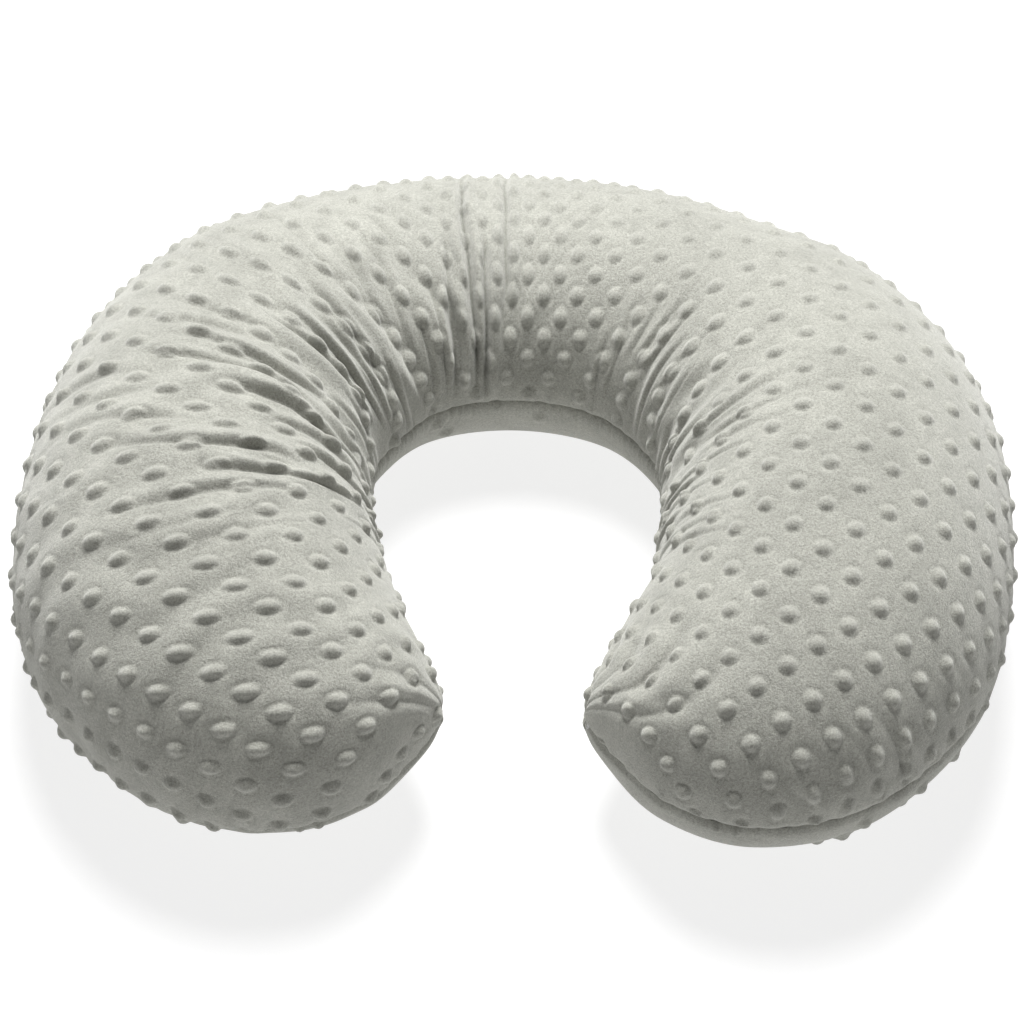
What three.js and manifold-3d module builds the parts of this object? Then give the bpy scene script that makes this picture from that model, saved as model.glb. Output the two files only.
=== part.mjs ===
// A C-shaped nursing pillow: a zipped plush slip cover over a fibre-filled inner cushion.
// Millimetres, +Z up. The origin is the centre of the pillow's footprint, on the surface it lies on.
// The closed back of the C faces +Y, and the gap between the two lobes opens towards -Y.
// The cover is two panels, one above and one below a seam at SEAM_Z that runs all the way round.
// The zip is let into that seam along the back, where the seam is one circular arc.
import * as THREE from "three";
import { mergeVertices } from "three/addons/utils/BufferGeometryUtils.js";
import Module from "manifold-3d";

const wasm = await Module();
wasm.setup();

// Plan outline, at the seam.
const BACK_RADIUS = 342; // radius of the outer seam across the back
const BACK_CENTRE_Y = -131.8; // centre of that arc, on the line x = 0
const BACK_HALF_ANGLE = 33; // degrees of that arc each side of the centre
const OUTER_FLANK = [
  [237, 91],
  [261, 12],
  [261, -70],
  [238, -141],
  [186, -195],
  [127, -212],
  [80, -199],
  [52, -171],
];
const LOBE_TIP = [36, -144]; // where the outer seam turns into the inner seam
const INNER_FLANK = [
  [44, -119],
  [56, -92],
  [67, -62],
  [75, -30],
  [78, -1],
  [73, 25],
  [44, 56],
  [0, 66],
];

// Heights and section shape.
const SEAM_Z = 55; // height of the seam above the surface
const BACK_RISE = 70; // crown above the seam at the back
const LOBE_RISE = 96; // crown above the seam at the lobes
const RISE_REACH = 0.5; // share of the way to the tip where the crown reaches LOBE_RISE
const TOP_ROUND = 2.1; // superellipse exponent of the upper half of a section
const BASE_ROUND = 2; // and of the rounded flanks of the lower half
const BASE_FLAT = 0.4; // share of a section's half width that lies flat on the surface
const CAP_FROM = 0.55; // share of the way to the tip where the crown starts to fall and the base to lift
const CAP_ROUND = 1.6;

// Layers.
const COVER_THICKNESS = 4; // plush pile and its knitted backing
const SEAM_GAP = 0.3; // half the gap between the two cover panels
const CASING_PLAN_INSET = 10.5; // inner cushion inside the outline, past the seam allowances
const CASING_CROWN_INSET = 5; // inner cushion below the cover's crown
const CASING_THICKNESS = 1;
const FILLING_GAP = 0.5;
const ALLOWANCE_INSET = [3.6, 8.4]; // the turned-in seam allowance, measured in from the outline
const ALLOWANCE_Z = [0.6, 1.6]; // and its faces above or below the seam
const THREAD_SIZE = 0.5;
const COVER_THREAD_INSET = 6;
const CASING_THREAD_INSET = 9.4;

// Zip, measured outwards from the seam's arc and up or down from the seam.
const ZIP_HALF_ANGLE = 30; // degrees of coil each side of the centre
const ZIP_SLOT_ANGLE = 32;
const SEAM_THREAD_ANGLE = 32.5; // the seam's thread starts just past the slot
const ZIP_SLOT_HALF_HEIGHT = 4.5;
const ZIP_SLOT_OUT = [-12, 4]; // the slot is cut right through the cover and its seam allowances
const TAPE_OUT = [-7.4, -6.8];
const TAPE_UP = [0.6, 10.5];
const TAPE_OVERRUN = 8; // tape beyond each end stop
const COIL_OUT = [-6.5, -4.3];
const COIL_UP = [0.6, 3.2];
const STOP_LENGTH = 3;
const STOP_OVERHANG = 0.4; // how far a stop reaches past the coil it is crimped on
const STOP_GAP = 0.3;
const SLIDER_LENGTH = 10;
const SLIDER_HALF_HEIGHT = 4.1;
const SLIDER_RAIL = 0.6;
const SLIDER_FRONT_OUT = [-3.9, -2.7];
const SLIDER_BACK_OUT = [-8.7, -7.7];
const SLIDER_NECK_HALF = 0.3;
const SLIDER_TAPE_GAP = 0.3;
const SLIDER_STOP_GAP = 0.6;
const BRIDGE_HALF_LENGTH = 4;
const BRIDGE_THICKNESS = 0.8;
const BRIDGE_HALF_HEIGHT = 1;
const PULL_AXIS_OUT = -1.7; // the line the pull tab turns about, just inside the seam's arc
const PULL_LENGTH = 18;
const PULL_THICKNESS = 1.2;
const PULL_HALF_HEIGHT = 2.6;
const PULL_EYE_HALF_HEIGHT = 1.4;
const PULL_EYE_LENGTH = 5;
const TOPSTITCH_OUT = 0.1;
const TOPSTITCH_UP = 7.5;
const TOPSTITCH_SIZE = 0.5;
const LABEL_ANGLES = [-6, 1];
const LABEL_SECTION = [
  [-8.8, -11.5],
  [-8.5, -11.5],
  [-15.5, -33],
  [-15.8, -33],
]; // it hangs from the lower tape, between the cover and the inner cushion

// Mesh fineness.
const ARC_SAMPLES = 40;
const OUTLINE_SAMPLES = 60; // between two outline points
const STATIONS = 18; // sections from the back's centre to one lobe tip
const COVER_STEPS = 12; // round the upper half of a section, and round the lower half
const CASING_STEPS = 6;
const ZIP_STEPS = 18;
const SLOT_STEPS = 40;
const SLIDER_STEPS = 4;
const LABEL_STEPS = 3;

const radians = THREE.MathUtils.degToRad;

// ---------------------------------------------------------------- plan outline

function onBackArc(degrees, out = 0) {
  const a = radians(degrees);
  const r = BACK_RADIUS + out;
  return [r * Math.sin(a), BACK_CENTRE_Y + r * Math.cos(a)];
}

// The right half of the outline, from the outer back round the lobe tip to the inner back.
function rightHalf() {
  const points = [];
  for (let i = 0; i < ARC_SAMPLES; i++) points.push(onBackArc((BACK_HALF_ANGLE * i) / ARC_SAMPLES));
  const leadIn = [onBackArc((BACK_HALF_ANGLE * 2) / 3), onBackArc(BACK_HALF_ANGLE)];
  const [x, y] = INNER_FLANK.at(-2);
  const knots = [...leadIn, ...OUTER_FLANK, LOBE_TIP, ...INNER_FLANK, [-x, y]];
  const spline = new THREE.CatmullRomCurve3(knots.map(([kx, ky]) => new THREE.Vector3(kx, ky, 0)));
  spline.curveType = "catmullrom";
  const spans = knots.length - 1;
  const tipKnot = leadIn.length + OUTER_FLANK.length;
  let tip = 0;
  for (let span = 1; span < spans - 1; span++) {
    if (span === tipKnot) tip = points.length;
    for (let j = 0; j < OUTLINE_SAMPLES; j++) {
      const p = spline.getPoint((span + j / OUTLINE_SAMPLES) / spans);
      points.push([p.x, p.y]);
    }
  }
  points.push(INNER_FLANK.at(-1));
  return { points, tip };
}

const outline = rightHalf();
const run = [0]; // distance along the outline
for (let i = 1; i < outline.points.length; i++) {
  const [a, b] = [outline.points[i - 1], outline.points[i]];
  run.push(run[i - 1] + Math.hypot(b[0] - a[0], b[1] - a[1]));
}
const TIP_RUN = run[outline.tip];
const WHOLE_RUN = run.at(-1);

// The outline's point at a distance along it, moved inwards by inset.
function outlineAt(distance, inset = 0) {
  let i = run.findIndex((d) => d >= distance);
  if (i < 1) i = i < 0 ? run.length - 1 : 1;
  const [a, b] = [outline.points[i - 1], outline.points[i]];
  const t = (distance - run[i - 1]) / (run[i] - run[i - 1]);
  const before = outline.points[Math.max(i - 2, 0)];
  const after = outline.points[Math.min(i + 1, run.length - 1)];
  let tangent = [after[0] - before[0], after[1] - before[1]];
  if (distance <= 0) tangent = [1, 0];
  if (distance >= WHOLE_RUN) tangent = [-1, 0];
  const length = Math.hypot(...tangent);
  return [
    a[0] + (b[0] - a[0]) * t + (inset * tangent[1]) / length,
    a[1] + (b[1] - a[1]) * t - (inset * tangent[0]) / length,
  ];
}

// ---------------------------------------------------------------- cushion sections

const smooth = (x) => THREE.MathUtils.smoothstep(x, 0, 1);

// Sections stand closer together towards the lobe tip, where the section changes fastest.
const stationShares = Array.from({ length: STATIONS + 1 }, (_, i) => {
  const even = i / STATIONS;
  return 0.75 * even + 0.25 * Math.sin((Math.PI / 2) * even);
});

function cap(share) {
  const u = THREE.MathUtils.clamp((share - CAP_FROM) / (1 - CAP_FROM), 0, 1);
  return (1 - u ** CAP_ROUND) ** (1 / CAP_ROUND);
}

// The outer seam's point and the inner seam's point at a share of the way from the back to the lobe tip.
const outerAt = (share, inset) => outlineAt(TIP_RUN * share, inset);
const innerAt = (share, inset) => outlineAt(WHOLE_RUN - (WHOLE_RUN - TIP_RUN) * share, inset);

// One closed section there, with a number of steps round its upper half.
function section(share, side, steps, planInset, crownInset) {
  const outer = outerAt(share, planInset);
  const inner = innerAt(share, planInset);
  const middle = [(outer[0] + inner[0]) / 2, (outer[1] + inner[1]) / 2];
  const reach = [outer[0] - middle[0], outer[1] - middle[1]];
  const fullRise = BACK_RISE + (LOBE_RISE - BACK_RISE) * smooth(share / RISE_REACH);
  const rise = (fullRise - crownInset) * cap(share);
  const drop = (SEAM_Z - crownInset) * cap(share);
  const at = (across, z) => [side * (middle[0] + reach[0] * across), middle[1] + reach[1] * across, z];
  const points = [];
  for (let k = 0; k < steps; k++) {
    const a = (Math.PI * k) / steps;
    const across = Math.sign(Math.cos(a)) * Math.abs(Math.cos(a)) ** (2 / TOP_ROUND);
    points.push(at(across, SEAM_Z + rise * Math.sin(a) ** (2 / TOP_ROUND)));
  }
  const flankSteps = steps / 2 - 1;
  const flank = (k) => {
    const a = (Math.PI / 2) * (k / flankSteps);
    const across = BASE_FLAT + (1 - BASE_FLAT) * Math.cos(a) ** (2 / BASE_ROUND);
    return k === flankSteps ? [BASE_FLAT, drop] : [across, drop * Math.sin(a) ** (2 / BASE_ROUND)];
  };
  for (let k = 0; k <= flankSteps; k++) points.push(at(-flank(k)[0], SEAM_Z - flank(k)[1]));
  points.push(at(0, SEAM_Z - drop));
  for (let k = flankSteps; k > 0; k--) points.push(at(flank(k)[0], SEAM_Z - flank(k)[1]));
  return points;
}

// The whole cushion shape, inset by planInset sideways and crownInset up and down, as a solid.
function cushionSolid(steps, planInset, crownInset) {
  const rings = [];
  for (let i = 1 - STATIONS; i < STATIONS; i++) {
    rings.push(section(stationShares[Math.abs(i)], i < 0 ? -1 : 1, steps, planInset, crownInset));
  }
  const around = rings[0].length;
  const positions = rings.flat(2);
  const [tipX, tipY] = outlineAt(TIP_RUN, planInset);
  positions.push(-tipX, tipY, SEAM_Z, tipX, tipY, SEAM_Z);
  const leftTip = rings.length * around;
  const indices = [];
  for (let k = 0; k < around; k++) {
    const next = (k + 1) % around;
    for (let i = 0; i + 1 < rings.length; i++) {
      const [a, b] = [i * around + k, i * around + next];
      const [c, d] = [a + around, b + around];
      indices.push(a, c, b, b, c, d);
    }
    const last = (rings.length - 1) * around;
    indices.push(leftTip, k, next);
    indices.push(leftTip + 1, last + next, last + k);
  }
  return solid(positions, indices);
}

// ---------------------------------------------------------------- solids and meshes

function manifoldOf(positions, indices) {
  const vertProperties = new Float32Array(positions);
  const triVerts = new Uint32Array(indices);
  const mesh = { numProp: 3, vertProperties, triVerts };
  return new wasm.Manifold(new wasm.Mesh(mesh));
}

// A closed solid, turned right side out if its faces point in.
function solid(positions, indices) {
  const made = manifoldOf(positions, indices);
  if (made.volume() > 0) return made;
  const turned = indices.slice();
  for (let i = 0; i < turned.length; i += 3) {
    turned[i] = indices[i + 1];
    turned[i + 1] = indices[i];
  }
  return manifoldOf(positions, turned);
}

function solidOf(geometry) {
  const bare = geometry.clone();
  for (const name of ["normal", "uv"]) bare.deleteAttribute(name);
  const merged = mergeVertices(bare, 1e-4);
  return solid([...merged.attributes.position.array], [...merged.index.array]);
}

function geometryOf(made) {
  const mesh = made.getMesh();
  return new THREE.BufferGeometry()
    .setAttribute("position", new THREE.BufferAttribute(mesh.vertProperties, 3))
    .setIndex(new THREE.BufferAttribute(mesh.triVerts, 1));
}

const above = (made, z) => made.trimByPlane([0, 0, 1], z);
const below = (made, z) => made.trimByPlane([0, 0, -1], -z);

// The outline of the whole pillow at an inset, through the sections' ends. It runs clockwise, from a share
// of the way down the right side to the same share down the left side.
function wholeOutline(inset, fromShare) {
  const shares = stationShares.filter((share) => share > fromShare);
  const outer = [fromShare, ...shares].map((share) => outerAt(share, inset));
  const inner = [0, ...stationShares.slice(1, -1)].reverse().map((share) => innerAt(share, inset));
  const right = [...outer, ...inner];
  const left = right.slice(0, -1).map(([x, y]) => [-x, y]);
  return [...right, ...left.reverse()];
}

// Joins rings of four corners, one after the other, into side faces.
function sideFaces(rings, closed) {
  const indices = [];
  for (let i = 0; i + (closed ? 0 : 1) < rings; i++) {
    for (let k = 0; k < 4; k++) {
      const [a, b] = [4 * i + k, 4 * i + ((k + 1) % 4)];
      const [c, d] = [4 * ((i + 1) % rings) + k, 4 * ((i + 1) % rings) + ((k + 1) % 4)];
      indices.push(a, c, b, b, c, d);
    }
  }
  return indices;
}

// Closes the first and the last of those rings.
function endFaces(rings) {
  const end = 4 * (rings - 1);
  return [0, 1, 2, 0, 2, 3, end, end + 2, end + 1, end, end + 3, end + 2];
}

// A flat band between two insets of the outline and two heights. It is a closed ring from share 0, and
// otherwise leaves the back open.
function band([outset, inset], low, high, fromShare = 0) {
  const closed = fromShare === 0;
  const outside = wholeOutline(outset, fromShare).slice(closed ? 1 : 0);
  const inside = wholeOutline(inset, fromShare).slice(closed ? 1 : 0);
  const corners = (p, q) => [...p, low, ...q, low, ...q, high, ...p, high];
  const positions = outside.flatMap((p, i) => corners(p, inside[i]));
  const sides = sideFaces(outside.length, closed);
  return solid(positions, closed ? sides : [...sides, ...endFaces(outside.length)]);
}

// A square thread along the seam.
function seamThread(inset, fromShare) {
  const half = THREAD_SIZE / 2;
  return band([inset - half, inset + half], SEAM_Z - half, SEAM_Z + half, fromShare);
}

// A four-cornered section swept along the back's arc between two angles, clockwise from +Y.
// Its corners are [out, up]: outwards from the arc and up from the seam.
function swept(corners, from, to, steps) {
  const positions = [];
  for (let i = 0; i <= steps; i++) {
    const angle = from + ((to - from) * i) / steps;
    for (const [out, up] of corners) positions.push(...onBackArc(angle, out), SEAM_Z + up);
  }
  return solid(positions, [...sideFaces(steps + 1, false), ...endFaces(steps + 1)]);
}

function sweptBar([out0, out1], [up0, up1], from, to, steps) {
  const corners = [
    [out0, up0],
    [out1, up0],
    [out1, up1],
    [out0, up1],
  ];
  return swept(corners, from, to, steps);
}

const arcDegrees = (length) => THREE.MathUtils.radToDeg(length / BACK_RADIUS);

// ---------------------------------------------------------------- the pieces

const PLUSH = { color: 0xb9b9b0, roughness: 0.95, metalness: 0 };
const POLYCOTTON = { color: 0xf1efe8, roughness: 0.9, metalness: 0 };
const FIBRE = { color: 0xfafafa, roughness: 1, metalness: 0 };
const THREAD = { color: 0xb2b2aa, roughness: 0.8, metalness: 0 };
const WHITE_THREAD = { color: 0xeeeeea, roughness: 0.8, metalness: 0 };
const TAPE = { color: 0xa9a9a2, roughness: 0.85, metalness: 0 };
const COIL = { color: 0xa2a29b, roughness: 0.45, metalness: 0 };
const ZIP_METAL = { color: 0x9c9c98, roughness: 0.35, metalness: 0.9 };
const LABEL = { color: 0xf4f4f2, roughness: 0.7, metalness: 0 };

const pillow = new THREE.Group();

function add(name, made, look) {
  const geometry = made.isBufferGeometry ? made : geometryOf(made);
  const mesh = new THREE.Mesh(geometry, new THREE.MeshStandardMaterial(look));
  mesh.name = name;
  pillow.add(mesh);
}

function coverPanels() {
  const outside = cushionSolid(COVER_STEPS, 0, 0);
  const shell = outside.subtract(cushionSolid(COVER_STEPS, COVER_THICKNESS, COVER_THICKNESS));
  const slotUp = [-ZIP_SLOT_HALF_HEIGHT, ZIP_SLOT_HALF_HEIGHT];
  const slot = sweptBar(ZIP_SLOT_OUT, slotUp, -ZIP_SLOT_ANGLE, ZIP_SLOT_ANGLE, SLOT_STEPS);
  const [low, high] = ALLOWANCE_Z;
  const top = above(shell, SEAM_Z + SEAM_GAP).add(band(ALLOWANCE_INSET, SEAM_Z + low, SEAM_Z + high));
  const bottom = below(shell, SEAM_Z - SEAM_GAP).add(band(ALLOWANCE_INSET, SEAM_Z - high, SEAM_Z - low));
  add("cover_top_panel", top.subtract(slot), PLUSH);
  add("cover_bottom_panel", bottom.subtract(slot), PLUSH);
  const zipEnd = (radians(SEAM_THREAD_ANGLE) * BACK_RADIUS) / TIP_RUN;
  add("cover_seam_thread", seamThread(COVER_THREAD_INSET, zipEnd), THREAD);
}

function innerCushion() {
  const inside = (extra) =>
    cushionSolid(CASING_STEPS, CASING_PLAN_INSET + extra, CASING_CROWN_INSET + extra);
  const shell = inside(0).subtract(inside(CASING_THICKNESS));
  add("inner_casing_top_panel", above(shell, SEAM_Z + SEAM_GAP), POLYCOTTON);
  add("inner_casing_bottom_panel", below(shell, SEAM_Z - SEAM_GAP), POLYCOTTON);
  add("inner_casing_seam_thread", seamThread(CASING_THREAD_INSET), WHITE_THREAD);
  add("fibre_filling", inside(CASING_THICKNESS + FILLING_GAP), FIBRE);
}

function zipChain() {
  const coilEnd = ZIP_HALF_ANGLE - arcDegrees(STOP_LENGTH);
  const flip = ([a, b]) => [-b, -a];
  const stopStart = coilEnd + arcDegrees(STOP_GAP);
  for (const [row, way] of [
    ["upper", (span) => span],
    ["lower", flip],
  ]) {
    const tapeEnd = ZIP_HALF_ANGLE + arcDegrees(TAPE_OVERRUN);
    add(`zip_tape_${row}`, sweptBar(TAPE_OUT, way(TAPE_UP), -tapeEnd, tapeEnd, ZIP_STEPS), TAPE);
    add(`zip_coil_${row}`, sweptBar(COIL_OUT, way(COIL_UP), -coilEnd, coilEnd, ZIP_STEPS), COIL);
    const stopUp = way([COIL_UP[0], COIL_UP[1] + STOP_OVERHANG]);
    add(`zip_top_stop_${row}`, sweptBar(COIL_OUT, stopUp, stopStart, ZIP_HALF_ANGLE, 1), ZIP_METAL);
    const stitchUp = way([TOPSTITCH_UP, TOPSTITCH_UP + TOPSTITCH_SIZE]);
    const stitchOut = [TOPSTITCH_OUT, TOPSTITCH_OUT + TOPSTITCH_SIZE];
    add(`zip_topstitch_${row}`, sweptBar(stitchOut, stitchUp, -tapeEnd, tapeEnd, ZIP_STEPS), THREAD);
  }
  const reach = COIL_UP[1] + STOP_OVERHANG;
  add("zip_bottom_stop", sweptBar(COIL_OUT, [-reach, reach], -ZIP_HALF_ANGLE, -stopStart, 1), ZIP_METAL);
}

// Where the closed slider stands, in degrees: against the top stops.
const SLIDER_ANGLE = ZIP_HALF_ANGLE - arcDegrees(STOP_LENGTH + SLIDER_LENGTH / 2 + SLIDER_STOP_GAP);

// Moves a piece drawn with x along the zip, y outwards and z up to the slider's place, at a distance out.
function atSlider(geometry, out) {
  const [x, y] = onBackArc(SLIDER_ANGLE, out);
  geometry.rotateZ(-radians(SLIDER_ANGLE));
  return geometry.translate(x, y, SEAM_Z);
}

function zipSlider() {
  const half = arcDegrees(SLIDER_LENGTH / 2);
  const wall = SLIDER_HALF_HEIGHT;
  const bar = (out, up) => sweptBar(out, up, SLIDER_ANGLE - half, SLIDER_ANGLE + half, SLIDER_STEPS);
  let body = bar(SLIDER_FRONT_OUT, [-wall, wall]).add(bar(SLIDER_BACK_OUT, [-wall, wall]));
  body = body.add(bar([SLIDER_BACK_OUT[0], SLIDER_FRONT_OUT[1]], [-SLIDER_NECK_HALF, SLIDER_NECK_HALF]));
  const frontRail = [TAPE_OUT[1] + SLIDER_TAPE_GAP, SLIDER_FRONT_OUT[1]];
  body = body.add(bar(frontRail, [wall - SLIDER_RAIL, wall]));
  body = body.add(bar(frontRail, [-wall, SLIDER_RAIL - wall]));

  const bridgeTop = PULL_AXIS_OUT - SLIDER_FRONT_OUT[1] + PULL_THICKNESS;
  const arch = new THREE.Shape();
  const foot = -0.3; // the bridge's feet run into the slider's front plate
  arch.moveTo(-BRIDGE_HALF_LENGTH, foot);
  arch.lineTo(-BRIDGE_HALF_LENGTH + BRIDGE_THICKNESS, foot);
  arch.lineTo(-BRIDGE_HALF_LENGTH + BRIDGE_THICKNESS, bridgeTop);
  arch.lineTo(BRIDGE_HALF_LENGTH - BRIDGE_THICKNESS, bridgeTop);
  arch.lineTo(BRIDGE_HALF_LENGTH - BRIDGE_THICKNESS, foot);
  arch.lineTo(BRIDGE_HALF_LENGTH, foot);
  arch.lineTo(BRIDGE_HALF_LENGTH, bridgeTop);
  arch.lineTo(BRIDGE_HALF_LENGTH - BRIDGE_THICKNESS, bridgeTop + BRIDGE_THICKNESS);
  arch.lineTo(-BRIDGE_HALF_LENGTH + BRIDGE_THICKNESS, bridgeTop + BRIDGE_THICKNESS);
  arch.lineTo(-BRIDGE_HALF_LENGTH, bridgeTop);
  const bridge = new THREE.ExtrudeGeometry(arch, { depth: 2 * BRIDGE_HALF_HEIGHT, bevelEnabled: false });
  bridge.translate(0, 0, -BRIDGE_HALF_HEIGHT);
  add("zip_slider_body", body.add(solidOf(atSlider(bridge, SLIDER_FRONT_OUT[1]))), ZIP_METAL);
}

// The pull tab lies back along the closed zip, with its eye bar under the slider's bridge.
function zipPullTab() {
  const bar = PULL_THICKNESS / 2;
  const eyeEnd = bar + PULL_EYE_LENGTH;
  const tipRadius = PULL_HALF_HEIGHT;
  const tab = new THREE.Shape();
  tab.moveTo(bar, -PULL_HALF_HEIGHT);
  tab.lineTo(bar, PULL_HALF_HEIGHT);
  tab.lineTo(tipRadius - PULL_LENGTH, PULL_HALF_HEIGHT);
  tab.absarc(tipRadius - PULL_LENGTH, 0, tipRadius, Math.PI / 2, (3 * Math.PI) / 2, false);
  const eye = new THREE.Path();
  eye.moveTo(-bar, -PULL_EYE_HALF_HEIGHT);
  eye.lineTo(-eyeEnd, -PULL_EYE_HALF_HEIGHT);
  eye.lineTo(-eyeEnd, PULL_EYE_HALF_HEIGHT);
  eye.lineTo(-bar, PULL_EYE_HALF_HEIGHT);
  tab.holes.push(eye);
  const thick = { depth: PULL_THICKNESS, bevelEnabled: false, curveSegments: 10 };
  const plate = new THREE.ExtrudeGeometry(tab, thick);
  plate.translate(0, 0, -PULL_THICKNESS / 2);
  plate.rotateX(-Math.PI / 2); // the plate stands upright, facing out of the pillow
  add("zip_pull_tab", solidOf(atSlider(plate, PULL_AXIS_OUT)), ZIP_METAL);
}

coverPanels();
innerCushion();
zipChain();
zipSlider();
zipPullTab();
add("care_label", swept(LABEL_SECTION, ...LABEL_ANGLES, LABEL_STEPS), LABEL);

export default pillow;
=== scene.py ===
import math

import bpy
import numpy as np
from mathutils import Matrix, Vector


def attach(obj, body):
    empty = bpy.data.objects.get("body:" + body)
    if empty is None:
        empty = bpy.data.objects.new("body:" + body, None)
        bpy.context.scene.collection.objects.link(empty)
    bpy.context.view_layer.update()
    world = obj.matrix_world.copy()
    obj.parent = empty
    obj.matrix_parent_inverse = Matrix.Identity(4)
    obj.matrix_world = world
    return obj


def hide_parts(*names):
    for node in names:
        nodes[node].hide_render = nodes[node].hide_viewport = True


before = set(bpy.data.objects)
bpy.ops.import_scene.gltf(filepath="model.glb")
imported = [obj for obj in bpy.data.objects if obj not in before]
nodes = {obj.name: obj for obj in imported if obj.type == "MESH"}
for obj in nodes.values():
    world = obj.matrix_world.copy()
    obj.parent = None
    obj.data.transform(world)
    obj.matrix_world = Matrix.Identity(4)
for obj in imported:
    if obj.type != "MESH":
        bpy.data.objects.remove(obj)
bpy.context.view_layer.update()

# Lengths are in millimetres until a mesh is made, and angles in degrees.
MM = 0.001

# ---------------------------------------------------------------- the pillow's shape

BACK_RADIUS = 342.0
BACK_CENTRE_Y = -131.8
BACK_HALF_ANGLE = 33.0
OUTER_FLANK = (
    (237, 91), (261, 12), (261, -70), (238, -141),
    (186, -195), (127, -212), (80, -199), (52, -171),
)
LOBE_TIP = (36, -144)
INNER_FLANK = (
    (44, -119), (56, -92), (67, -62), (75, -30),
    (78, -1), (73, 25), (44, 56), (0, 66),
)
STEPS_PER_SPAN = 60

SEAM_Z = 55.0
BACK_RISE = 70.0
LOBE_RISE = 96.0
RISE_UNTIL = 0.5
TOP_ROUND = 2.1
BASE_ROUND = 2.0
BASE_FLAT = 0.4
FLANK_SHARE = 0.72
CAP_FROM = 0.55
CAP_ROUND = 1.6

ZIP_HALF_ANGLE = 30.0
SLOT_HALF_ANGLE = 32.0
SLOT_HALF_HEIGHT = 4.1
# Past the tapes' ends the opening closes over these few degrees, clear of the pull tab.
SLOT_OVERRUN = 0.6
SLOT_CLOSING = 1.05

# The lobes have rolled a little: this many degrees carry the left one's outer seam below the
# widest line, and the right one's above it.
LEFT_ROLL = 20.0
RIGHT_ROLL = -3.0
ROLL_FROM = 0.45
ROLL_UNTIL = 0.75

# Where a used pillow's sides have settled out of true.
SETTLED = (
    # (share, angle, reach along, reach round, millimetres outwards)
    (0.205, 45, 0.070, 28, -5.0),
    (0.430, 20, 0.080, 45, 4.0),
    (0.660, 172, 0.080, 35, -4.0),
    (-0.620, 15, 0.090, 40, 3.5),
    (-0.860, 20, 0.070, 50, -4.0),
    (-0.300, 172, 0.100, 30, 2.0),
)


def smooth(x):
    x = np.clip(x, 0.0, 1.0)
    return x * x * (3.0 - 2.0 * x)


def bump(x, centre, width):
    return np.exp(-((x - centre) / width) ** 2)


def patch(f, angles, share, angle, along, round_section):
    """A soft patch on a grid of shares and angles, 1 at its centre."""
    return bump(f, share, along)[:, None] * bump(angles, angle, round_section)[None, :]


def arc_point(angle, out=0.0):
    turn = math.radians(angle)
    reach = BACK_RADIUS + out
    return (reach * math.sin(turn), BACK_CENTRE_Y + reach * math.cos(turn))


def right_outline():
    """The right half's plan outline, from the back's middle round the lobe to the waist's middle."""
    points = [arc_point(BACK_HALF_ANGLE * i / 40) for i in range(40)]
    knots = [arc_point(BACK_HALF_ANGLE * 2 / 3), arc_point(BACK_HALF_ANGLE)]
    knots += list(OUTER_FLANK) + [LOBE_TIP] + list(INNER_FLANK)
    knots.append((-INNER_FLANK[-2][0], INNER_FLANK[-2][1]))
    knots = np.array(knots, float)
    tip_knot = 2 + len(OUTER_FLANK)
    tip = 0
    for k in range(1, len(knots) - 2):
        if k == tip_knot:
            tip = len(points)
        p0, p1, p2, p3 = knots[k - 1:k + 3]
        for step in range(STEPS_PER_SPAN):
            t = step / STEPS_PER_SPAN
            square = (2 * p0 - 5 * p1 + 4 * p2 - p3) * t * t
            cube = (-p0 + 3 * p1 - 3 * p2 + p3) * t ** 3
            points.append(0.5 * (2 * p1 + (-p0 + p2) * t + square + cube))
    points.append(knots[-2])
    return np.array(points), tip


OUTLINE, TIP_INDEX = right_outline()
STEP_LENGTHS = np.hypot(*np.diff(OUTLINE, axis=0).T)
RUN = np.concatenate([[0.0], np.cumsum(STEP_LENGTHS)])
TIP_RUN = RUN[TIP_INDEX]
WHOLE_RUN = RUN[-1]


def on_outline(run):
    return np.stack([np.interp(run, RUN, OUTLINE[:, 0]), np.interp(run, RUN, OUTLINE[:, 1])], -1)


def section_ends(f):
    """Outer and inner plan points of the sections at f, which runs from -1 (left tip) to 1."""
    share = np.abs(f)
    outer = on_outline(TIP_RUN * share)
    inner = on_outline(WHOLE_RUN - (WHOLE_RUN - TIP_RUN) * share)
    side = np.where(f < 0, -1.0, 1.0)
    outer[..., 0] *= side
    inner[..., 0] *= side
    return outer, inner


def back_angle(f):
    """Angle round the back's arc of the section's outer end; past the arc it keeps on growing."""
    return np.degrees(TIP_RUN * np.abs(f) / BACK_RADIUS)


def power(base, exponent):
    return np.sign(base) * np.abs(base) ** exponent


def settling(f, angle):
    """How far the settled shape stands out from the true one, in plan."""
    total = np.zeros(np.broadcast(f, angle).shape)
    for share, centre, along, round_section, out in SETTLED:
        turn = np.mod(angle - centre + 180, 360) - 180
        total = total + out * bump(f, share, along) * bump(turn, 0.0, round_section)
    return total


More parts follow.
